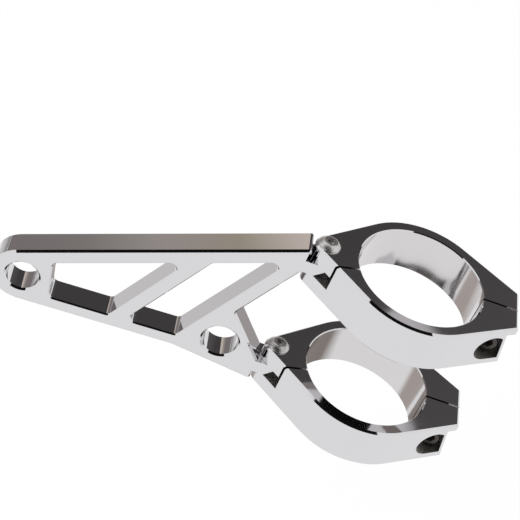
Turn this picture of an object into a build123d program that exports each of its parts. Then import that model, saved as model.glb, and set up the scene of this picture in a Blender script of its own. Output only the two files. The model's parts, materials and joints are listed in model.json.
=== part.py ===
from build123d import *
import os
from math import acos, atan2, cos, degrees, hypot, radians, sin

# A headlight mounting bracket for one fork leg: a flat truss arm that carries the lamp, and two
# hinged clamps, one above the other, that close round the leg. Each clamp is two halves that share
# one pivot screw with a tang of the arm. The arm's top edge is level, as on the motorcycle, so the
# fork leans back by the rake. Millimetres, +Z up, +X from the lamp towards the fork, origin on the
# fork's axis in the middle of the upper clamp.

# Fork leg
fork_diameter = 54.0
rake = 25.0
clamp_pitch = 60.0

# Clamps
ring_wall = 5.4
end_reach = 42.7
end_width = 21.8
pivot_reach = 40.0
ear_radius = 5.6
leaf_height = 7.0
tang_height = 5.8
hinge_gap = 0.1
split_gap = 1.0
hinge_split_angle = 17.5
hinge_wall = 3.5
clamp_edge = 0.9
bore_chamfer = 0.4
swivel_limit = 40.0
swing_gap = 0.5
knuckle_gap = 1.0
tang_reach = 4.4
tang_corner = 2.5

# Arm
arm_thickness = 12.0
top_edge = 27.9
tip_radius = 13.2
headlight_reach = 159.3
headlight_hole = 14.0
lower_hole = 15.5
lower_hole_place = (-80.7, -20.8)
lower_slope = 22.0
tail_slope = 32.0
kink_reach = 101.3
top_bar = 6.8
lower_bar = 6.1
web_width = 6.2
web_angle = 37.0
first_web_share = 0.7057
notch_web_reach = 70.82478
window_wall = 11.7
window_wall_drop = 2.5
window_wall_angle = 75.0
notch_wall = (-70.2, -14.6)
notch_wall_angle = -76.3
window_corner = 2.5
notch_corner = 1.5
end_corner = 1.3
arm_edge = 0.9
window_edge = 0.6
hole_chamfer = 0.8

# Pivot screws, M5 button heads, tapped into the bottom leaf
pivot_thread = 5.0
pivot_head = 9.5
pivot_head_height = 2.2
pivot_crown = 5.4
pivot_socket = 3.0
pivot_socket_depth = 1.3
pivot_length = 18.0
pivot_tip = 0.5
pivot_clearance = 0.1
tap_clearance = 0.03

# Clamp bolts, M5 socket caps, tapped into the rear half
bolt_setback = 8.5
bolt_thread = 5.0
bolt_pitch_diameter = 4.4
bolt_length = 12.0
bolt_tip = 0.5
bolt_head = 8.5
bolt_head_height = 5.0
bolt_socket = 4.0
bolt_socket_depth = 2.5
bolt_edge = 0.4
bolt_clearance = 0.3
pocket_diameter = 10.0
pocket_drop = 1.4
pocket_floor = 6.4

# Relief under the front half's bolted end, which leaves a lip along its top
lip_height = 3.2
relief_top = 3.7
relief_foot = 0.7

bore_radius = fork_diameter / 2
ring_radius = bore_radius + ring_wall
tang_radius = arm_thickness / 2
bolt_reach = end_reach - bolt_setback
clamp_height = 2 * (leaf_height + hinge_gap) + tang_height
knuckle_radius = tang_radius + knuckle_gap
past_everything = 3 * end_reach

# The fork's own axes: x along the clamps from pivot to bolt, y through the arm, z up the fork.
fork_plane = Plane(
    origin=(0, 0, 0),
    x_dir=(cos(radians(rake)), 0, -sin(radians(rake))),
    z_dir=(sin(radians(rake)), 0, cos(radians(rake))),
)
pivot = Vector(-pivot_reach, 0)


def polar(radius, angle):
    """Point at a radius and an angle in degrees."""
    return Vector(radius * cos(radians(angle)), radius * sin(radians(angle)))


def crossing(line_a, line_b):
    """Point where two lines cross, each a point and its angle in degrees."""
    (ax, az), angle_a = line_a
    (bx, bz), angle_b = line_b
    ca, sa = cos(radians(angle_a)), sin(radians(angle_a))
    cb, sb = cos(radians(angle_b)), sin(radians(angle_b))
    along = ((bx - ax) * sb - (bz - az) * cb) / (ca * sb - sa * cb)
    return (ax + along * ca, az + along * sa)


def shifted(line, distance):
    """The line moved to its own left by a distance."""
    (x, z), angle = line
    side = polar(distance, angle + 90)
    return ((x + side.X, z + side.Y), angle)


def on_arm(along, up):
    """Arm-plane point (x, z) of a point given in the fork's own axes."""
    place = fork_plane.from_local_coords(Vector(along, 0, up))
    return (place.X, place.Z)


# Arm: outline and openings as lines, then the plate, then its two tangs

tip = (-headlight_reach, top_edge - tip_radius)
tip_tangent = polar(tip_radius, 270 - lower_slope) + Vector(*tip)
end_along = -(pivot_reach + ear_radius + swing_gap)

top_line = ((0, top_edge), 0)
ceiling_line = ((0, top_edge - top_bar), 0)
lower_line = ((tip_tangent.X, tip_tangent.Y), -lower_slope)
floor_line = shifted(lower_line, lower_bar)
kink = crossing(lower_line, ((-kink_reach, 0), 90))
tail_line = (kink, -tail_slope)
end_line = (on_arm(end_along, 0), 90 - rake)
web_reaches = (first_web_share * headlight_reach, notch_web_reach)
web_lines = [((-reach, 0), web_angle) for reach in web_reaches]
left_line = ((tip[0] + window_wall, tip[1] - window_wall_drop), window_wall_angle)
wall_line = (notch_wall, notch_wall_angle)
tang_topside = (on_arm(0, tang_height / 2 - clamp_pitch), -rake)

first_window = [
    crossing(left_line, ceiling_line),
    crossing(left_line, floor_line),
    crossing(floor_line, shifted(web_lines[0], web_width / 2)),
    crossing(ceiling_line, shifted(web_lines[0], web_width / 2)),
]
second_window = [
    crossing(shifted(web_lines[0], -web_width / 2), ceiling_line),
    crossing(shifted(web_lines[0], -web_width / 2), floor_line),
    crossing(floor_line, shifted(web_lines[1], web_width / 2)),
    crossing(ceiling_line, shifted(web_lines[1], web_width / 2)),
]
notch_top = shifted(web_lines[1], -web_width / 2)
notch_point = crossing(notch_top, wall_line)
notch = [
    notch_point,
    crossing(wall_line, tang_topside),
    on_arm(0, tang_height / 2 - clamp_pitch),
    crossing(notch_top, ((0, 0), 90 - rake)),
]

with BuildPart() as arm:
    with BuildSketch(Plane.XZ) as plate:
        with BuildLine():
            tip_arc = CenterArc(tip, tip_radius, 90, 180 - lower_slope)
            Polyline(
                tip_arc @ 1,
                kink,
                crossing(tail_line, end_line),
                crossing(top_line, end_line),
                tip_arc @ 0,
            )
        make_face()
        with BuildLine():
            Polyline(*notch, close=True)
        make_face(mode=Mode.SUBTRACT)
        fillet(plate.vertices().sort_by_distance(notch_point)[0], notch_corner)
        fillet(plate.vertices().sort_by_distance(crossing(top_line, end_line))[0], end_corner)
        fillet(plate.vertices().sort_by_distance(crossing(tail_line, end_line))[0], end_corner)
    extrude(amount=arm_thickness / 2, both=True)
    rim = arm.faces().filter_by(Axis.Y).edges()
    chamfer(rim, arm_edge)
    with BuildSketch(Plane.XZ) as windows:
        for corners in (first_window, second_window):
            with BuildLine():
                Polyline(*corners, close=True)
            make_face()
        fillet(windows.vertices(), window_corner)
    extrude(amount=arm_thickness / 2, both=True, mode=Mode.SUBTRACT)
    window_rims = [
        edge
        for face in arm.faces().filter_by(Axis.Y)
        for wire in face.inner_wires()
        for edge in wire.edges()
    ]
    chamfer(window_rims, window_edge)
    for place, diameter in ((tip, headlight_hole), (lower_hole_place, lower_hole)):
        with Locations(Plane.XZ.offset(arm_thickness / 2).location * Location((*place, 0))):
            Hole(diameter / 2)
        rims = arm.edges().filter_by(GeomType.CIRCLE).filter_by(lambda e: abs(e.radius - diameter / 2) < 1e-6)
        chamfer(rims, hole_chamfer)
    for drop in (0, clamp_pitch):
        with BuildSketch(fork_plane.offset(-tang_height / 2 - drop)):
            with BuildLine() as tang:
                for side in (1, -1):
                    corner = pivot + Vector(tang_reach - tang_corner, side * (tang_radius - tang_corner))
                    CenterArc(corner, tang_corner, 0, 360)
                root = end_along - 3 * arm_edge
                Line((root, -tang_radius), (root, tang_radius))
            make_hull(tang.edges())
        extrude(amount=tang_height)
        with Locations(fork_plane.offset(tang_height / 2 - drop).location * Location(pivot)):
            Hole(pivot_thread / 2 + pivot_clearance)


# Clamp halves, in the fork's own axes: the outline is the hull of ear, ring and bolted end


def tangent_point(radius, place):
    """Where a line from a place touches a circle about the pivot, on the circle's rear side."""
    reach = place - pivot
    turn = degrees(atan2(reach.Y, reach.X)) + degrees(acos(radius / hypot(reach.X, reach.Y)))
    return pivot + polar(radius, turn)


def front_sector(inset):
    """Corners of the part of the plane in front of both splits, moved in from them by an inset."""
    hinge_angle = 180 + hinge_split_angle
    right_split = ((0, -inset), 0)
    left_split = shifted(((0, 0), hinge_angle), inset)
    apex = Vector(*crossing(right_split, left_split))
    return [
        apex,
        apex + polar(past_everything, hinge_angle),
        apex + polar(2 * past_everything, 270),
        apex + polar(past_everything, 0),
    ]


def clamp_outline(mode):
    """Draw the outline shared by both halves."""
    with BuildLine() as rims:
        CenterArc(pivot, ear_radius, 0, 360)
        CenterArc((0, 0), ring_radius, 0, 360)
        Line((end_reach, -end_width / 2), (end_reach, end_width / 2))
    make_hull(rims.edges(), mode=mode)


def outer_edges(half):
    """Edges round a half's top and bottom, without those of its two splits."""
    left_side = polar(1, 270 + hinge_split_angle)
    level_faces = half.faces().filter_by(Axis.Z).sort_by(Axis.Z)
    rims = level_faces[-1].edges() + level_faces[0].edges()
    kept = []
    for edge in rims:
        middle = edge @ 0.5
        from_splits = (abs(middle.Y), abs(middle.X * left_side.X + middle.Y * left_side.Y))
        if all(abs(distance - split_gap / 2) > 0.01 for distance in from_splits):
            kept.append(edge)
    return kept


def bore_and_rims():
    """Cut the fork bore with a chamfer at each end."""
    Cylinder(bore_radius, clamp_height, mode=Mode.SUBTRACT)
    for side in (1, -1):
        with Locations(Pos(0, 0, side * (clamp_height - bore_chamfer) / 2) * Rot(90 - side * 90, 0, 0)):
            Cone(bore_radius, bore_radius + bore_chamfer, bore_chamfer, mode=Mode.SUBTRACT)


base_plane = Plane.XY.offset(-clamp_height / 2)
split_foot = polar(bore_radius + hinge_wall, 180 + hinge_split_angle)
leaf_foot = split_foot + polar(knuckle_gap / 2, 180 + hinge_split_angle)
split_side = 270 + hinge_split_angle
runout = 180 - swivel_limit
bolt_plane = Plane(origin=(bolt_reach, -pocket_floor, -pocket_drop), x_dir=(1, 0, 0), z_dir=(0, -1, 0))

with BuildPart() as rear_half:
    with BuildSketch(base_plane):
        clamp_outline(Mode.ADD)
        with BuildLine():
            Polyline(*front_sector(-split_gap / 2), close=True)
        make_face(mode=Mode.SUBTRACT)
    extrude(amount=clamp_height)
    chamfer(outer_edges(rear_half), clamp_edge)
    bore_and_rims()
    with BuildSketch(base_plane):
        with Locations(pivot):
            Circle(knuckle_radius)
        with BuildLine():
            Polyline(
                split_foot,
                tangent_point(knuckle_radius, split_foot),
                pivot,
                pivot + polar(knuckle_radius, runout - 90),
                pivot + polar(knuckle_radius, runout - 90) + polar(pivot_reach, runout),
                pivot + polar(pivot_reach, 180),
                split_foot + polar(pivot_reach, split_side),
                close=True,
            )
        make_face()
    extrude(amount=clamp_height - leaf_height, mode=Mode.SUBTRACT)
    with Locations(Pos(-pivot_reach, 0, clamp_height / 2)):
        Hole(pivot_thread / 2 + pivot_clearance)
    with Locations(bolt_plane):
        Hole(bolt_thread / 2, depth=end_reach)

with BuildPart() as front_half:
    with BuildSketch(base_plane):
        clamp_outline(Mode.ADD)
        with BuildLine():
            Polyline(*front_sector(split_gap / 2), close=True)
        make_face(mode=Mode.INTERSECT)
    extrude(amount=clamp_height)
    with BuildSketch(base_plane):
        with Locations(pivot):
            Circle(ear_radius)
        with BuildLine():
            Polyline(
                tangent_point(ear_radius, leaf_foot),
                leaf_foot,
                leaf_foot + polar(3 * ear_radius, split_side),
                pivot + polar(2 * ear_radius, split_side - 65),
                pivot,
                close=True,
            )
        make_face()
        clamp_outline(Mode.INTERSECT)
    extrude(amount=leaf_height)
    chamfer(outer_edges(front_half), clamp_edge)
    bore_and_rims()
    with BuildSketch(bolt_plane):
        Circle(pocket_diameter / 2)
    extrude(amount=ring_radius, mode=Mode.SUBTRACT)
    with BuildSketch(Plane.XZ):
        with BuildLine():
            Polyline(
                (end_reach - relief_top, clamp_height / 2 - lip_height),
                (end_reach - relief_foot, -clamp_height / 2),
                (end_reach + relief_top, -clamp_height / 2),
                (end_reach + relief_top, clamp_height / 2 - lip_height),
                close=True,
            )
        make_face()
    extrude(amount=ring_radius, mode=Mode.SUBTRACT)
    with Locations(bolt_plane):
        Hole(bolt_thread / 2 + bolt_clearance)
    with Locations(Pos(-pivot_reach, 0, leaf_height - clamp_height / 2)):
        Hole(pivot_thread / 2 + tap_clearance)

# Screws, head up, origin under the head

with BuildPart() as pivot_screw:
    with BuildSketch(Plane.XZ):
        with BuildLine():
            Polyline((pivot_crown / 2, pivot_head_height), (0, pivot_head_height), (0, -pivot_length))
            Polyline(
                (0, -pivot_length),
                (pivot_thread / 2 - pivot_tip, -pivot_length),
                (pivot_thread / 2, pivot_tip - pivot_length),
                (pivot_thread / 2, 0),
                (pivot_head / 2, 0),
                (pivot_head / 2, pivot_tip),
            )
            RadiusArc((pivot_head / 2, pivot_tip), (pivot_crown / 2, pivot_head_height), -pivot_head / 2)
        make_face()
    revolve(axis=Axis.Z)
    with BuildSketch(Plane.XY.offset(pivot_head_height)):
        RegularPolygon(pivot_socket / 2, 6, major_radius=False)
    extrude(amount=-pivot_socket_depth, mode=Mode.SUBTRACT)

with BuildPart() as clamp_bolt:
    with BuildSketch(Plane.XY):
        Circle(bolt_head / 2)
    extrude(amount=bolt_head_height)
    chamfer(clamp_bolt.faces().sort_by(Axis.Z)[-1].edges(), bolt_edge)
    with BuildSketch(Plane.XY.offset(bolt_head_height)):
        RegularPolygon(bolt_socket / 2, 6, major_radius=False)
    extrude(amount=-bolt_socket_depth, mode=Mode.SUBTRACT)
    with BuildSketch(Plane.XY):
        Circle(bolt_pitch_diameter / 2)
    extrude(amount=-bolt_length)
    chamfer(clamp_bolt.faces().sort_by(Axis.Z)[0].edges(), bolt_tip)

# Each piece in its place, one file a piece

os.makedirs("parts", exist_ok=True)
arm.part.label = "arm"
export_step(arm.part, "parts/arm.step")

screw_plane = Plane.XY.offset(clamp_height / 2).shift_origin(Vector(-pivot_reach, 0, clamp_height / 2))
for level, drop in (("upper", 0), ("lower", clamp_pitch)):
    clamp_place = fork_plane.offset(-drop).location
    placed = {
        "clamp_rear": (rear_half, clamp_place),
        "clamp_front": (front_half, clamp_place),
        "pivot_screw": (pivot_screw, clamp_place * screw_plane.location),
        "clamp_bolt": (clamp_bolt, clamp_place * bolt_plane.location),
    }
    for name, (piece, place) in placed.items():
        with BuildPart() as copy:
            with Locations(place):
                add(piece.part)
        copy.part.label = f"{level}_{name}"
        export_step(copy.part, f"parts/{level}_{name}.step")
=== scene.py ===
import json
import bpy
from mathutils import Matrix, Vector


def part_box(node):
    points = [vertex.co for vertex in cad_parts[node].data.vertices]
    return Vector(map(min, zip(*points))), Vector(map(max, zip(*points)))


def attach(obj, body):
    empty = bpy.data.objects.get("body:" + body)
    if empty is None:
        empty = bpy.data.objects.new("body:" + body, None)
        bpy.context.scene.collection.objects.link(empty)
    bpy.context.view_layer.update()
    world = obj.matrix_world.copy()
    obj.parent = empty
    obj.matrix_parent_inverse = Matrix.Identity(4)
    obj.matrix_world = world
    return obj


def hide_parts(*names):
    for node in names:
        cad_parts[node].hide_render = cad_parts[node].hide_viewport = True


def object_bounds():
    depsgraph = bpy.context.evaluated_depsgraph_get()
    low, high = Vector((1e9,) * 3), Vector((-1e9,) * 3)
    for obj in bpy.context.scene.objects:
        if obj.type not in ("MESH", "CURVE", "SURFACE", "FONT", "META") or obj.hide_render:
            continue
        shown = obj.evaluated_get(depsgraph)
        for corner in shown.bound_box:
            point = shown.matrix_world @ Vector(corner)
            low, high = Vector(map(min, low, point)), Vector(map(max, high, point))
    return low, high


bl_info = {
    "name": "Headlight Mounting Bracket",
    "version": (1, 0, 0),
    "blender": (4, 5, 0),
    "location": "3D View > Sidebar > Bracket",
    "description": "Dresses a hinged headlight bracket in mirror polish and sets its studio",
    "category": "Object",
}

from math import cos, hypot, radians, sin, tau

import bpy
from mathutils import Matrix, Vector

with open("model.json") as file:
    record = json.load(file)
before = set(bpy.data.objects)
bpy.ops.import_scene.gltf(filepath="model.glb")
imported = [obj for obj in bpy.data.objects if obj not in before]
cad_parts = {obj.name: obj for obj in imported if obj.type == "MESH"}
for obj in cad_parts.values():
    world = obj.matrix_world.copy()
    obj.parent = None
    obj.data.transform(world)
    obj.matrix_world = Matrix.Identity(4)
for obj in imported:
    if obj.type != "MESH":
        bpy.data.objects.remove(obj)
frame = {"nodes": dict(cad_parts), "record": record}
cad_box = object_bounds()

MM = 0.001
# Vertices closer than this are merged, in a CAD mesh's loose triangles and, with its slivers, beside a cut.
WELD = 0.002 * MM
CUT_WELD = 0.01 * MM
# Vertices closer than this to a cutting plane count as on it.
CUT_TOLERANCE = 0.001 * MM
LEVELS = ("upper", "lower")
MOUNTS = {mount["name"]: mount for mount in frame["record"]["mounts"]}

# The fork's own axes: along the clamps from hinge to bolt, across them to the rear, and up the fork.
FORK_UP = Vector(MOUNTS["upper_fork_bore"]["axis"]).normalized()
FORK_ACROSS = Vector((0, 1, 0))
FORK_ALONG = FORK_ACROSS.cross(FORK_UP)
BORE_RADIUS = MOUNTS["upper_fork_bore"]["dims"]["r_mm"] * MM


# Small helpers


def linear(hex_colour):
    """An sRGB hex colour such as d3d2d4 as linear RGBA."""
    channels = [int(hex_colour[i : i + 2], 16) / 255 for i in (0, 2, 4)]
    bent = [c / 12.92 if c <= 0.04045 else ((c + 0.055) / 1.055) ** 2.4 for c in channels]
    return (*bent, 1.0)


def add_node(tree, kind, settings=None, inputs=None, links=None):
    """A node with its settings, its input values and the sockets that feed its inputs."""
    node = tree.nodes.new(kind)
    for name, value in (settings or {}).items():
        setattr(node, name, value)
    for name, value in (inputs or {}).items():
        node.inputs[name].default_value = value
    for name, socket in (links or {}).items():
        tree.links.new(socket, node.inputs[name])
    return node


def new_tree(name):
    """A material by that name with an empty node tree."""
    material = bpy.data.materials.new(name)
    material.use_nodes = True
    material.node_tree.nodes.clear()
    return material, material.node_tree


def pick(obj):
    """Make one object the only selected and active one."""
    bpy.ops.object.select_all(action="DESELECT")
    obj.select_set(True)
    bpy.context.view_layer.objects.active = obj


def choose_vertices(obj, test):
    """Go into edit mode with only those of an object's vertices selected that pass a test."""
    bpy.ops.object.mode_set(mode="EDIT")
    bpy.ops.mesh.select_all(action="DESELECT")
    bpy.ops.object.mode_set(mode="OBJECT")
    for vertex in obj.data.vertices:
        vertex.select = test(vertex)
    bpy.ops.object.mode_set(mode="EDIT")


def cut(piece, cutter):
    """Take a cutter's shape out of a piece, and remove the cutter."""
    pick(piece)
    step = piece.modifiers.new("Cut", "BOOLEAN")
    step.object = cutter
    step.operation = "DIFFERENCE"
    bpy.ops.object.modifier_apply(modifier=step.name)
    bpy.data.objects.remove(cutter)


def smooth_copy(node, name, angle, cutter=None):
    """A merged copy of a CAD node, less a cutter, smooth over rounded edges and true on flats."""
    copy = bpy.data.objects.new(name, frame["nodes"][node].data.copy())
    copy.data.materials.clear()
    bpy.context.scene.collection.objects.link(copy)
    pick(copy)
    bpy.ops.mesh.customdata_custom_splitnormals_clear()
    bpy.ops.object.mode_set(mode="EDIT")
    bpy.ops.mesh.select_all(action="SELECT")
    bpy.ops.mesh.remove_doubles(threshold=WELD)
    bpy.ops.object.mode_set(mode="OBJECT")
    if cutter:
        cut(copy, cutter)
        bpy.ops.object.mode_set(mode="EDIT")
        bpy.ops.mesh.select_all(action="SELECT")
        bpy.ops.mesh.remove_doubles(threshold=CUT_WELD)
        bpy.ops.mesh.dissolve_degenerate(threshold=CUT_WELD)
        bpy.ops.object.mode_set(mode="OBJECT")
    bpy.ops.object.shade_smooth_by_angle(angle=angle)
    weigh = copy.modifiers.new("Flats stay flat", "WEIGHTED_NORMAL")
    weigh.mode = "FACE_AREA"
    weigh.weight = 100
    weigh.keep_sharp = True
    bpy.ops.object.modifier_apply(modifier=weigh.name)
    return copy


def dress(piece, materials, body, node):
    """Give a finished piece its materials and its body, and hide the CAD node that it stands for."""
    for material in materials:
        piece.data.materials.append(material)
    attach(piece, body)
    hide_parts(node)


# Settings that a user would change


class FinishSettings(bpy.types.PropertyGroup):
    polish_tone: bpy.props.StringProperty(
        name="Polish tone", description="Colour of the mirror polish, sRGB hex", default="d6d5d7"
    )
    polish_roughness: bpy.props.FloatProperty(
        name="Polish roughness", description="Blur of the mirror polish", default=0.035, min=0, max=1
    )
    bore_tone: bpy.props.StringProperty(
        name="Bore tone", description="Colour of the honed fork bores, sRGB hex", default="d2d0d1"
    )
    bore_roughness: bpy.props.FloatProperty(
        name="Bore roughness", description="Blur of the honed fork bores", default=0.1, min=0, max=1
    )
    # The milled tone is darker than the polish partly as painted shade in the hinge slots and bolt pockets;
    # their dull finish is real.
    milled_and_shade_tone: bpy.props.StringProperty(
        name="Milled and shade tone",
        description="Colour of the unpolished hinges and bolt pockets, darkened as painted shade, sRGB hex",
        default="c4c1bd",
    )
    screw_tone: bpy.props.StringProperty(
        name="Screw tone", description="Colour of the plated pivot screws, sRGB hex", default="d0cecc"
    )
    bolt_tone: bpy.props.StringProperty(
        name="Bolt tone", description="Colour of the blackened clamp bolts, sRGB hex", default="4a4643"
    )
    smooth_angle: bpy.props.FloatProperty(
        name="Smooth angle",
        description="Edges sharper than this stay crisp",
        default=radians(30),
        subtype="ANGLE",
    )


class BoltSettings(bpy.types.PropertyGroup):
    head_height: bpy.props.FloatProperty(
        name="Head height", description="Height of the socket cap", default=5.0 * MM, unit="LENGTH"
    )
    head_edge: bpy.props.FloatProperty(
        name="Head edge", description="Bevel round the top of the cap", default=0.4 * MM, unit="LENGTH"
    )
    knurl_count: bpy.props.IntProperty(
        name="Knurl ridges", description="Ridges round the cap", default=40, min=12
    )
    knurl_depth: bpy.props.FloatProperty(
        name="Knurl depth", description="Depth between the ridges", default=0.22 * MM, unit="LENGTH"
    )
    socket_width: bpy.props.FloatProperty(
        name="Socket", description="Hexagon socket across its flats", default=4.0 * MM, unit="LENGTH"
    )
    socket_depth: bpy.props.FloatProperty(
        name="Socket depth", description="Depth of the hexagon socket", default=2.5 * MM, unit="LENGTH"
    )
    thread_outside: bpy.props.FloatProperty(
        name="Thread diameter", description="Over the thread's crests", default=4.75 * MM, unit="LENGTH"
    )
    thread_depth: bpy.props.FloatProperty(
        name="Thread depth", description="From crest to root", default=0.45 * MM, unit="LENGTH"
    )
    thread_pitch: bpy.props.FloatProperty(
        name="Thread pitch", description="From crest to crest", default=0.8 * MM, unit="LENGTH"
    )


class PocketSettings(bpy.types.PropertyGroup):
    radius: bpy.props.FloatProperty(
        name="Pocket radius",
        description="Radius of the pocket's round side",
        default=6.2 * MM,
        unit="LENGTH",
    )
    rise: bpy.props.FloatProperty(
        name="Pocket rise",
        description="Height of the round side's centre above the bolt",
        default=1.1 * MM,
        unit="LENGTH",
    )
    offset: bpy.props.FloatProperty(
        name="Pocket offset",
        description="From the bolt outwards to the round side's centre",
        default=0.3 * MM,
        unit="LENGTH",
    )
    flat_reach: bpy.props.FloatProperty(
        name="Flat side",
        description="From the round side's centre to the flat side",
        default=4.65 * MM,
        unit="LENGTH",
    )
    flat_lean: bpy.props.FloatProperty(
        name="Flat side lean", description="Lean of the flat side", default=radians(10), subtype="ANGLE"
    )
    seat_gap: bpy.props.FloatProperty(
        name="Seat gap",
        description="How far the floor lies below the bolt's cap",
        default=0.05 * MM,
        unit="LENGTH",
    )


class StageSettings(bpy.types.PropertyGroup):
    background_tone: bpy.props.StringProperty(
        name="Background", description="Colour of the floor and backdrop, sRGB hex", default="ffffff"
    )
    floor_drop: bpy.props.FloatProperty(
        name="Floor drop", description="Height of the bracket above the floor", default=0.12, unit="LENGTH"
    )
    fill_strength: bpy.props.FloatProperty(
        name="Fill", description="Strength of the even light from all round", default=0.7, min=0
    )
    key_power: bpy.props.FloatProperty(
        name="Key lamp", description="Power of the large soft lamp", default=14.0, min=0
    )
    card_reach: bpy.props.FloatProperty(
        name="Card distance", description="Distance of the studio cards", default=1.6, unit="LENGTH"
    )


class CameraSettings(bpy.types.PropertyGroup):
    azimuth: bpy.props.FloatProperty(
        name="Azimuth", description="Heading of the view from +Y", default=radians(-10.579), subtype="ANGLE"
    )
    elevation: bpy.props.FloatProperty(
        name="Elevation", description="How far the view looks down", default=radians(39.106), subtype="ANGLE"
    )
    roll: bpy.props.FloatProperty(
        name="Roll", description="Tilt of the frame", default=radians(-6.764), subtype="ANGLE"
    )
    focal_length: bpy.props.FloatProperty(
        name="Focal length", description="Lens on a 36 mm frame, in millimetres", default=136.983
    )
    origin_offset: bpy.props.FloatVectorProperty(
        name="Origin in view",
        description="Where the upper clamp's centre lies: right, down and ahead of the camera",
        default=(0.061902, 0.013960, 0.803932),
        unit="LENGTH",
    )


# Materials


def finish_metal(tree, tone, pattern, roughness, span=(0.0, 1.0), metallic=1.0):
    """End a tree in a metal whose roughness runs between two values as its pattern runs over a span."""
    blur = add_node(
        tree,
        "ShaderNodeMapRange",
        inputs={"From Min": span[0], "From Max": span[1], "To Min": roughness[0], "To Max": roughness[1]},
        links={"Value": pattern},
    )
    shader = add_node(
        tree,
        "ShaderNodeBsdfPrincipled",
        inputs={"Base Color": linear(tone), "Metallic": metallic},
        links={"Roughness": blur.outputs["Result"]},
    )
    add_node(tree, "ShaderNodeOutputMaterial", links={"Surface": shader.outputs["BSDF"]})


def polished_aluminium():
    """Billet aluminium buffed to a mirror: it shows its surroundings, with a faint haze left by the wheel."""
    finish = bpy.context.scene.bracket_finish
    material, tree = new_tree("Polished aluminium")
    place = add_node(tree, "ShaderNodeTexCoord")
    # Clouds of haze about 16 mm across.
    haze = add_node(
        tree,
        "ShaderNodeTexNoise",
        inputs={"Scale": 1 / (16 * MM), "Detail": 3.0, "Roughness": 0.6},
        links={"Vector": place.outputs["Object"]},
    )
    clear = finish.polish_roughness
    finish_metal(tree, finish.polish_tone, haze.outputs["Fac"], (clear, 1.8 * clear), span=(0.35, 0.75))
    return material


def bored_aluminium():
    """Aluminium as bored and honed: nearly a mirror, with softer reflections and faint rings."""
    finish = bpy.context.scene.bracket_finish
    material, tree = new_tree("Bored aluminium")
    place = add_node(tree, "ShaderNodeTexCoord")
    up = add_node(
        tree,
        "ShaderNodeVectorMath",
        settings={"operation": "DOT_PRODUCT"},
        inputs={1: FORK_UP},
        links={0: place.outputs["Object"]},
    )
    # Boring rings are about 0.1 mm apart, too fine to show, so they are drawn 0.8 mm apart.
    rings = add_node(
        tree,
        "ShaderNodeTexNoise",
        settings={"noise_dimensions": "1D"},
        inputs={"Scale": 1 / (0.8 * MM), "Detail": 2.0},
        links={"W": up.outputs["Value"]},
    )
    honed = finish.bore_roughness
    finish_metal(tree, finish.bore_tone, rings.outputs["Fac"], (0.8 * honed, 1.2 * honed))
    return material


def milled_aluminium_with_shade():
    """Aluminium as it left the cutter: dull, with faint tool marks. Its tone, darker than the polish, is
    painted shade in the hinge slots and bolt pockets that it covers.
    """
    finish = bpy.context.scene.bracket_finish
    material, tree = new_tree("Milled aluminium with painted shade")
    place = add_node(tree, "ShaderNodeTexCoord")
    # Tool marks are about 0.2 mm apart, too fine to show, so they are drawn 0.7 mm apart.
    # The wave texture turns 20 radians for each unit of its scaled length.
    marks = add_node(
        tree,
        "ShaderNodeTexWave",
        inputs={"Scale": tau / (20 * 0.7 * MM), "Distortion": 3.0, "Detail": 2.0},
        links={"Vector": place.outputs["Object"]},
    )
    # The darker tone is painted shade in the recesses; the rougher range is the real milled finish.
    finish_metal(tree, finish.milled_and_shade_tone, marks.outputs["Fac"], (0.38, 0.55))
    return material


def plated_steel():
    """Bright zinc-plated steel: a softer mirror with a grey cast."""
    finish = bpy.context.scene.bracket_finish
    material, tree = new_tree("Plated steel")
    place = add_node(tree, "ShaderNodeTexCoord")
    # The plating's grain, in patches about 2.5 mm across.
    grain = add_node(
        tree,
        "ShaderNodeTexNoise",
        inputs={"Scale": 1 / (2.5 * MM), "Detail": 4.0},
        links={"Vector": place.outputs["Object"]},
    )
    finish_metal(tree, finish.screw_tone, grain.outputs["Fac"], (0.35, 0.4))
    return material


def black_oxide_steel():
    """Alloy steel with a black oxide coat: nearly black, oiled, with a low sheen."""
    finish = bpy.context.scene.bracket_finish
    material, tree = new_tree("Black oxide steel")
    place = add_node(tree, "ShaderNodeTexCoord")
    # Patches of oil about 1 mm across.
    oil = add_node(
        tree,
        "ShaderNodeTexNoise",
        inputs={"Scale": 1 / (1.1 * MM), "Detail": 4.0},
        links={"Vector": place.outputs["Object"]},
    )
    finish_metal(tree, finish.bolt_tone, oil.outputs["Fac"], (0.3, 0.48), metallic=0.6)
    return material


# Pieces


class BRACKET_OT_arm(bpy.types.Operator):
    """Add the polished truss arm"""

    bl_idname = "bracket.arm"
    bl_label = "Arm"

    def execute(self, context):
        finish = context.scene.bracket_finish
        mirror = bpy.data.materials.get("Polished aluminium") or polished_aluminium()
        arm = smooth_copy("arm", "polished_arm", finish.smooth_angle)
        dress(arm, [mirror], "arm", "arm")
        return {"FINISHED"}


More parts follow.
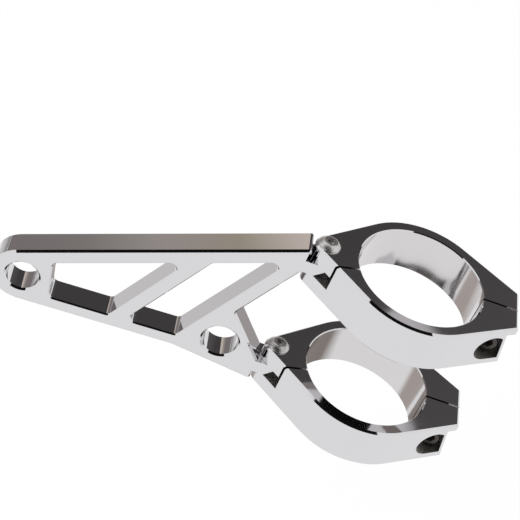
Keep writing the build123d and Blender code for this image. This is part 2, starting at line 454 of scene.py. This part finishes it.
def pocket_cutter(level):
    """The bolt pocket to cut from a front half: round inside, level below, flat and leaning outside."""
    pocket = bpy.context.scene.bracket_pocket
    low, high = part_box(f"{level}_clamp_bolt")
    floor = low.y + bpy.context.scene.bracket_bolt.head_height + pocket.seat_gap
    radius, wide = pocket.radius, 2 * pocket.radius
    deep = 2 * BORE_RADIUS  # More than enough to come out of the front.
    bpy.ops.mesh.primitive_circle_add(vertices=72, radius=radius)
    cutter = bpy.context.object
    edge = 0.01 * radius
    # A square corner takes the place of the lower outer quarter of the circle.
    choose_vertices(cutter, lambda vertex: vertex.co.x > edge and vertex.co.y < -edge)
    bpy.ops.mesh.delete(type="VERT")
    choose_vertices(cutter, lambda vertex: abs(vertex.co.x) < edge and vertex.co.y < 0)
    for step in ((wide, 0, 0), (0, radius, 0)):
        bpy.ops.mesh.extrude_region_move(TRANSFORM_OT_translate={"value": step})
    bpy.ops.mesh.select_all(action="SELECT")
    bpy.ops.mesh.edge_face_add()
    bpy.ops.mesh.extrude_region_move(TRANSFORM_OT_translate={"value": (0, 0, deep)})
    bpy.ops.mesh.select_all(action="SELECT")
    outwards = Vector((cos(pocket.flat_lean), sin(pocket.flat_lean), 0))
    bpy.ops.mesh.bisect(
        plane_co=pocket.flat_reach * outwards,
        plane_no=outwards,
        use_fill=True,
        clear_outer=True,
        threshold=CUT_TOLERANCE,
    )
    bpy.ops.mesh.select_all(action="SELECT")
    bpy.ops.mesh.normals_make_consistent(inside=False)
    bpy.ops.object.mode_set(mode="OBJECT")
    seat = Vector(((low.x + high.x) / 2, floor, (low.z + high.z) / 2))
    centre = seat + pocket.offset * FORK_ALONG + pocket.rise * FORK_UP
    axes = Matrix((FORK_ALONG, FORK_UP, -FORK_ACROSS)).transposed().to_4x4()
    cutter.matrix_world = Matrix.Translation(centre) @ axes
    return cutter


# What tells a clamp half's faces apart, in mm from the middle of its bore or from its bolt.
HINGE_START = -20.0  # Along the clamp, past which the hinge begins.
HINGE_HALF_HEIGHT = 3.05  # Half the slot between the hinge's outer leaves.
HINGE_OUTSIDE = 31.0  # From the fork's axis, past which an upright face is the clamp's outside.
BORE_MARGIN = 0.2  # Room for the bore's facets.
POCKET_REACH = 9.0  # From the bolt, within which its pocket lies.
POCKET_FRONT = -1.0  # Across the clamp: the pocket's floor is in front of this, the split behind it.

# Most that a normal may lean for a face to run along the fork or along the bolt, and least to face the front.
ALONG_FORK = 0.2
ALONG_BOLT = 0.05
FACES_FRONT = 0.97


def clamp_finish(face, clamp_middle, bolt_middle):
    """Slot of a clamp half's face: 0 polished outside, 1 honed bore, 2 milled hinge and bolt pocket with
    painted shade.
    """
    place = face.center - clamp_middle
    along, across, up = (place.dot(axis) / MM for axis in (FORK_ALONG, FORK_ACROSS, FORK_UP))
    from_axis = hypot(along, across)
    stands = abs(face.normal.dot(FORK_UP)) < ALONG_FORK
    if stands and from_axis < BORE_RADIUS / MM + BORE_MARGIN:
        return 1
    in_slot = along < HINGE_START and abs(up) < HINGE_HALF_HEIGHT
    in_hinge = in_slot and not (stands and from_axis > HINGE_OUTSIDE)
    from_bolt = face.center - bolt_middle
    from_bolt.y = 0
    wall = abs(face.normal.y) < ALONG_BOLT and face.normal.dot(from_bolt) < 0
    floor = face.normal.y < -FACES_FRONT and across < POCKET_FRONT
    in_pocket = from_bolt.length < POCKET_REACH * MM and (wall or floor)
    # Slot 2 carries painted shade: a darker tone on the faces inside the hinge slot and the bolt pocket.
    return 2 if in_hinge or in_pocket else 0


class BRACKET_OT_clamps(bpy.types.Operator):
    """Add the halves of both clamps, polished outside and left as machined inside, with painted shade in the
    hinges and bolt pockets
    """

    bl_idname = "bracket.clamps"
    bl_label = "Clamp halves"

    def execute(self, context):
        finish = context.scene.bracket_finish
        mirror = bpy.data.materials.get("Polished aluminium") or polished_aluminium()
        # The third material darkens the hinge slots and bolt pockets as painted shade.
        materials = [mirror, bored_aluminium(), milled_aluminium_with_shade()]
        for level in LEVELS:
            clamp_middle = Vector(MOUNTS[f"{level}_fork_bore"]["pos_m"])
            low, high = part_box(f"{level}_clamp_bolt")
            bolt_middle = (low + high) / 2
            for side in ("rear", "front"):
                node = f"{level}_clamp_{side}"
                cutter = pocket_cutter(level) if side == "front" else None
                half = smooth_copy(node, f"polished_{node}", finish.smooth_angle, cutter)
                dress(half, materials, f"{level}_{side}", node)
                for face in half.data.polygons:
                    face.material_index = clamp_finish(face, clamp_middle, bolt_middle)
        return {"FINISHED"}


class BRACKET_OT_pivot_screws(bpy.types.Operator):
    """Add the plated button-head screws of the hinges"""

    bl_idname = "bracket.pivot_screws"
    bl_label = "Pivot screws"

    def execute(self, context):
        finish = context.scene.bracket_finish
        steel = plated_steel()
        for level in LEVELS:
            node = f"{level}_pivot_screw"
            screw = smooth_copy(node, f"plated_{node}", finish.smooth_angle)
            dress(screw, [steel], f"{level}_front", node)
        return {"FINISHED"}


def knurled_cap(radius):
    """The bolt's socket cap, standing on the origin: a ridged side and a hexagon socket in its top."""
    bolt = bpy.context.scene.bracket_bolt
    rise = bolt.head_height - bolt.head_edge
    bpy.ops.object.select_all(action="DESELECT")
    bpy.ops.mesh.primitive_cylinder_add(
        vertices=2 * bolt.knurl_count, radius=radius, depth=rise, location=(0, 0, rise / 2)
    )
    cap = bpy.context.object
    bpy.ops.object.transform_apply(location=True, rotation=True, scale=True)
    # A cylinder's vertices come in pairs, bottom and top, and every other pair is drawn in as a groove.
    choose_vertices(cap, lambda vertex: vertex.index % 4 > 1)
    shrink = 1 - bolt.knurl_depth / radius
    bpy.ops.transform.resize(value=(shrink, shrink, 1))
    bpy.ops.mesh.select_all(action="DESELECT")
    bpy.ops.object.mode_set(mode="OBJECT")
    for face in cap.data.polygons:
        face.select = face.normal.z > 0.9
    bpy.ops.object.mode_set(mode="EDIT")
    bpy.ops.mesh.extrude_region_move(TRANSFORM_OT_translate={"value": (0, 0, bolt.head_edge)})
    narrow = 1 - bolt.head_edge / radius
    bpy.ops.transform.resize(value=(narrow, narrow, 1))
    bpy.ops.object.mode_set(mode="OBJECT")

    bpy.ops.object.select_all(action="DESELECT")
    bpy.ops.mesh.primitive_cylinder_add(
        vertices=6,
        radius=bolt.socket_width / 2 / cos(radians(30)),
        depth=2 * bolt.socket_depth,
        location=(0, 0, bolt.head_height),
    )
    cut(cap, bpy.context.object)
    return cap


def threaded_shank(length):
    """The bolt's shank, hanging from the origin: one thread wound all the way to the tip."""
    bolt = bpy.context.scene.bracket_bolt
    pitch, depth = bolt.thread_pitch, bolt.thread_depth
    root = bolt.thread_outside / 2 - depth
    turn_steps, spare_turns = 24, 3
    into_cap = 0.2 * MM
    tip_taper = 0.86
    bpy.ops.object.select_all(action="DESELECT")
    bpy.ops.mesh.primitive_plane_add(size=pitch)
    shank = bpy.context.object
    bpy.ops.object.mode_set(mode="EDIT")
    bpy.ops.mesh.delete(type="ONLY_FACE")
    choose_vertices(shank, lambda vertex: vertex.index > 0)
    bpy.ops.mesh.delete(type="VERT")
    bpy.ops.mesh.select_all(action="SELECT")
    bpy.ops.transform.translate(value=Vector((root, 0, -length - pitch)) - shank.data.vertices[0].co)
    # One turn of thread: root flat, rising flank, crest flat, falling flank.
    for out, rise in ((0, 0.125), (depth, 0.375), (0, 0.125), (-depth, 0.375)):
        bpy.ops.mesh.extrude_region_move(TRANSFORM_OT_translate={"value": (out, 0, rise * pitch)})
    bpy.ops.object.mode_set(mode="OBJECT")
    wind = shank.modifiers.new("Thread", "SCREW")
    wind.axis = "Z"
    wind.screw_offset = pitch
    wind.iterations = round(length / pitch) + spare_turns
    wind.steps = wind.render_steps = turn_steps
    wind.use_merge_vertices = True
    bpy.ops.object.modifier_apply(modifier=wind.name)
    bpy.ops.object.mode_set(mode="EDIT")
    bpy.ops.mesh.select_all(action="SELECT")
    bpy.ops.mesh.remove_doubles(threshold=WELD)
    for height, outwards in ((into_cap, 1), (-length, -1)):
        bpy.ops.mesh.select_all(action="SELECT")
        bpy.ops.mesh.bisect(
            plane_co=(0, 0, height),
            plane_no=(0, 0, outwards),
            use_fill=True,
            clear_outer=True,
            threshold=CUT_TOLERANCE,
        )
    bpy.ops.mesh.select_all(action="SELECT")
    bpy.ops.mesh.normals_make_consistent(inside=False)
    choose_vertices(shank, lambda vertex: vertex.co.z < -length + 0.05 * pitch)
    bpy.ops.transform.resize(value=(tip_taper, tip_taper, 1))
    bpy.ops.object.mode_set(mode="OBJECT")
    return shank


class BRACKET_OT_clamp_bolts(bpy.types.Operator):
    """Add the blackened socket-cap bolts of the clamps, with knurled caps and cut threads"""

    bl_idname = "bracket.clamp_bolts"
    bl_label = "Clamp bolts"

    def execute(self, context):
        finish = context.scene.bracket_finish
        bolt = context.scene.bracket_bolt
        black = black_oxide_steel()
        for level in LEVELS:
            node = f"{level}_clamp_bolt"
            low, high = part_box(node)
            seat = Vector(((low.x + high.x) / 2, low.y + bolt.head_height, (low.z + high.z) / 2))
            cap = knurled_cap((high.x - low.x) / 2)
            shank = threaded_shank(high.y - seat.y)
            pick(cap)
            shank.select_set(True)
            bpy.ops.object.join()
            cap.name = f"black_{node}"
            cap.matrix_world = Matrix.Translation(seat) @ Matrix.Rotation(radians(90), 4, "X")
            bpy.ops.object.transform_apply(location=True, rotation=True, scale=True)
            bpy.ops.object.shade_smooth_by_angle(angle=finish.smooth_angle)
            dress(cap, [black], f"{level}_front", node)
        return {"FINISHED"}


# Stage


# The middle of the bracket, which the cards and the lamp face.
MIDDLE = Vector((-0.06, 0, 0))

# The share of the floor's tone that glows where it is seen. The rest takes the bracket's shadow.
FLOOR_GLOW = 0.94

# Each card: name, azimuth, elevation, width and height in degrees, tones in stops, and the way they run.
CARDS = (
    (
        "dark_card_behind",
        (28, 24, 58, 62),
        ((0.0, "474445"), (0.52, "4a4748"), (0.62, "524f50"), (1.0, "6c6866")),
        "X",
    ),
    (
        "grey_card_behind",
        (-33, 38, 60, 40),
        (
            (0.0, "898181"),
            (0.63, "898181"),
            (0.67, "8d8784"),
            (0.725, "aaa39f"),
            (0.782, "aca293"),
            (0.83, "d7ccc2"),
        ),
        "X",
    ),
    (
        "low_card_behind",
        (-45, 4, 80, 28),
        ((0.0, "e6e5e5"), (0.5, "d8d6d5"), (0.78, "b0aead"), (1.0, "898786")),
        "Y",
    ),
    ("light_strip_behind", (35.4, 28.9, 3.4, 1.9), ((0.0, "c8c4c6"), (1.0, "d8d5d7")), "X"),
    ("dark_card_in_front", (161, 39, 72, 100), ((0.0, "141313"), (1.0, "141313")), "Y"),
)

# Papers on the floor that the bores and the cut-outs mirror: name, x, y, width and depth in metres, and tone.
PAPERS = (
    ("warm_paper_under", -0.1, 0.14, 0.3, 0.34, "958d88"),
    ("warm_paper_left", -0.68, 0.18, 0.7, 0.44, "beb5b0"),
    ("grey_paper_right", 0.085, 0.26, 0.06, 0.16, "aea8a7"),
)


def heading(azimuth, elevation):
    """The direction at an azimuth from +Y towards +X and an elevation, both in degrees."""
    az, el = radians(azimuth), radians(elevation)
    return Vector((sin(az) * cos(el), cos(az) * cos(el), sin(el)))


def seen_directly(tree):
    """A socket that is 1 for rays of the camera, off metal and through glass, and 0 for other light."""
    path = add_node(tree, "ShaderNodeLightPath")
    seen = path.outputs["Is Camera Ray"]
    for ray in ("Is Glossy Ray", "Is Transmission Ray"):
        either = add_node(
            tree,
            "ShaderNodeMath",
            settings={"operation": "MAXIMUM"},
            links={0: seen, 1: path.outputs[ray]},
        )
        seen = either.outputs["Value"]
    return seen


def lay_floor(height, white):
    """White paper that glows nearly white where it is seen, and still takes the bracket's shadow."""
    bpy.ops.mesh.primitive_plane_add(size=12, location=(0, 0, height))
    floor = bpy.context.object
    floor.name = "floor"
    material, tree = new_tree("Floor paper")
    glow_share = add_node(
        tree,
        "ShaderNodeMath",
        settings={"operation": "MULTIPLY"},
        inputs={1: FLOOR_GLOW},
        links={0: seen_directly(tree)},
    )
    paper = add_node(tree, "ShaderNodeBsdfDiffuse", inputs={"Color": white})
    glow = add_node(tree, "ShaderNodeEmission", inputs={"Color": white})
    both = add_node(
        tree,
        "ShaderNodeMixShader",
        links={0: glow_share.outputs["Value"], 1: paper.outputs["BSDF"], 2: glow.outputs["Emission"]},
    )
    add_node(tree, "ShaderNodeOutputMaterial", links={"Surface": both.outputs["Shader"]})
    floor.data.materials.append(material)


def light_evenly(fill_strength, white):
    """A world that is white where it is seen, and lights the bracket evenly with the fill's strength."""
    world = bpy.data.worlds.new("Even light")
    bpy.context.scene.world = world
    world.use_nodes = True
    tree = world.node_tree
    tree.nodes.clear()
    strength = add_node(
        tree,
        "ShaderNodeMapRange",
        inputs={"To Min": fill_strength, "To Max": 1.0},
        links={"Value": seen_directly(tree)},
    )
    sky = add_node(
        tree,
        "ShaderNodeBackground",
        inputs={"Color": white},
        links={"Strength": strength.outputs["Result"]},
    )
    add_node(tree, "ShaderNodeOutputWorld", links={"Surface": sky.outputs["Background"]})


def add_card(name, place, facing, width, height, stops, along):
    """A flat studio card that shows in reflections alone, its tones in stops along its X or Y."""
    bpy.ops.mesh.primitive_plane_add(size=1)
    panel = bpy.context.object
    panel.name = name
    panel.rotation_euler = facing.to_track_quat("Z", "Y").to_euler()
    panel.location = place
    panel.scale = (width, height, 1)
    material, tree = new_tree(name)
    spot = add_node(tree, "ShaderNodeTexCoord")
    split = add_node(tree, "ShaderNodeSeparateXYZ", links={"Vector": spot.outputs["Object"]})
    shift = add_node(
        tree,
        "ShaderNodeMath",
        settings={"operation": "ADD"},
        inputs={1: 0.5},
        links={0: split.outputs[along]},
    )
    ramp = add_node(tree, "ShaderNodeValToRGB", links={"Fac": shift.outputs["Value"]})
    colours = ramp.color_ramp.elements
    for index, (share, tone) in enumerate(stops):
        stop = colours[index] if index < 2 else colours.new(share)
        stop.position = share
        stop.color = linear(tone)
    glow = add_node(tree, "ShaderNodeEmission", links={"Color": ramp.outputs["Color"]})
    add_node(tree, "ShaderNodeOutputMaterial", links={"Surface": glow.outputs["Emission"]})
    panel.data.materials.append(material)
    panel.visible_camera = False
    panel.visible_diffuse = False
    panel.visible_shadow = False


def add_key_lamp(power):
    """A large soft lamp, high up in front on the left, that doesn't show in the polish."""
    bpy.ops.object.light_add(type="AREA", location=(-0.5, -0.7, 1.3))
    lamp = bpy.context.object
    lamp.name = "key_lamp"
    lamp.data.shape = "RECTANGLE"
    lamp.data.size = 1.0
    lamp.data.size_y = 0.7
    lamp.data.energy = power
    lamp.visible_glossy = False
    lamp.rotation_euler = (MIDDLE - lamp.location).to_track_quat("-Z", "Y").to_euler()


def add_camera(view):
    """The camera at its heading, tilt and distance from the upper clamp's centre."""
    aim, down, tilt = view.azimuth, view.elevation, view.roll
    ahead = Vector((sin(aim) * cos(down), cos(aim) * cos(down), -sin(down)))
    level = Vector((cos(aim), -sin(aim), 0))
    rise = level.cross(ahead)
    right = cos(tilt) * level + sin(tilt) * rise
    up = cos(tilt) * rise - sin(tilt) * level
    to_right, to_down, to_ahead = view.origin_offset
    place = -(right * to_right - up * to_down + ahead * to_ahead)
    bpy.ops.object.camera_add()
    camera = bpy.context.object
    camera.name = "camera"
    camera.matrix_world = Matrix.Translation(place) @ Matrix((right, up, -ahead)).transposed().to_4x4()
    camera.data.lens = view.focal_length
    camera.data.sensor_width = 36.0
    camera.data.clip_end = 50.0
    bpy.context.scene.camera = camera


class BRACKET_OT_stage(bpy.types.Operator):
    """Add the floor, the even light, the studio cards, the lamp and the camera"""

    bl_idname = "bracket.stage"
    bl_label = "Stage"

    def execute(self, context):
        stage = context.scene.bracket_stage
        white = linear(stage.background_tone)
        floor_height = cad_box[0].z - stage.floor_drop
        lay_floor(floor_height, white)
        light_evenly(stage.fill_strength, white)
        reach = stage.card_reach
        for name, (azimuth, elevation, wide, tall), stops, along in CARDS:
            out = heading(azimuth, elevation)
            size = (reach * radians(wide), reach * radians(tall))
            add_card(name, MIDDLE + reach * out, -out, *size, stops, along)
        for name, x, y, wide, deep, tone in PAPERS:
            place = Vector((x, y, floor_height + 1 * MM))
            fade = ((0.0, "ffffff"), (0.25, tone), (0.85, tone), (1.0, "ffffff"))
            add_card(name, place, Vector((0, 0, 1)), wide, deep, fade, "Y")
        add_key_lamp(stage.key_power)
        add_camera(context.scene.bracket_camera)
        context.scene.view_settings.view_transform = "Standard"
        return {"FINISHED"}


class BRACKET_PT_panel(bpy.types.Panel):
    """Lists the bracket's pieces and its studio"""

    bl_idname = "BRACKET_PT_panel"
    bl_label = "Headlight bracket"
    bl_space_type = "VIEW_3D"
    bl_region_type = "UI"
    bl_category = "Bracket"

    def draw(self, context):
        for settings in (
            context.scene.bracket_finish,
            context.scene.bracket_bolt,
            context.scene.bracket_pocket,
            context.scene.bracket_stage,
            context.scene.bracket_camera,
        ):
            for name in settings.__annotations__:
                self.layout.prop(settings, name)
        for operator in OPERATORS:
            self.layout.operator(operator.bl_idname)


OPERATORS = (
    BRACKET_OT_arm,
    BRACKET_OT_clamps,
    BRACKET_OT_pivot_screws,
    BRACKET_OT_clamp_bolts,
    BRACKET_OT_stage,
)
CLASSES = (
    FinishSettings,
    BoltSettings,
    PocketSettings,
    StageSettings,
    CameraSettings,
    *OPERATORS,
    BRACKET_PT_panel,
)


def register():
    for cls in CLASSES:
        bpy.utils.register_class(cls)
    bpy.types.Scene.bracket_finish = bpy.props.PointerProperty(type=FinishSettings)
    bpy.types.Scene.bracket_bolt = bpy.props.PointerProperty(type=BoltSettings)
    bpy.types.Scene.bracket_pocket = bpy.props.PointerProperty(type=PocketSettings)
    bpy.types.Scene.bracket_stage = bpy.props.PointerProperty(type=StageSettings)
    bpy.types.Scene.bracket_camera = bpy.props.PointerProperty(type=CameraSettings)


def unregister():
    del bpy.types.Scene.bracket_camera
    del bpy.types.Scene.bracket_stage
    del bpy.types.Scene.bracket_pocket
    del bpy.types.Scene.bracket_bolt
    del bpy.types.Scene.bracket_finish
    for cls in reversed(CLASSES):
        bpy.utils.unregister_class(cls)


def main():
    register()
    bpy.ops.bracket.arm()
    bpy.ops.bracket.clamps()
    bpy.ops.bracket.pivot_screws()
    bpy.ops.bracket.clamp_bolts()
    bpy.ops.bracket.stage()


if __name__ == "__main__":
    main()
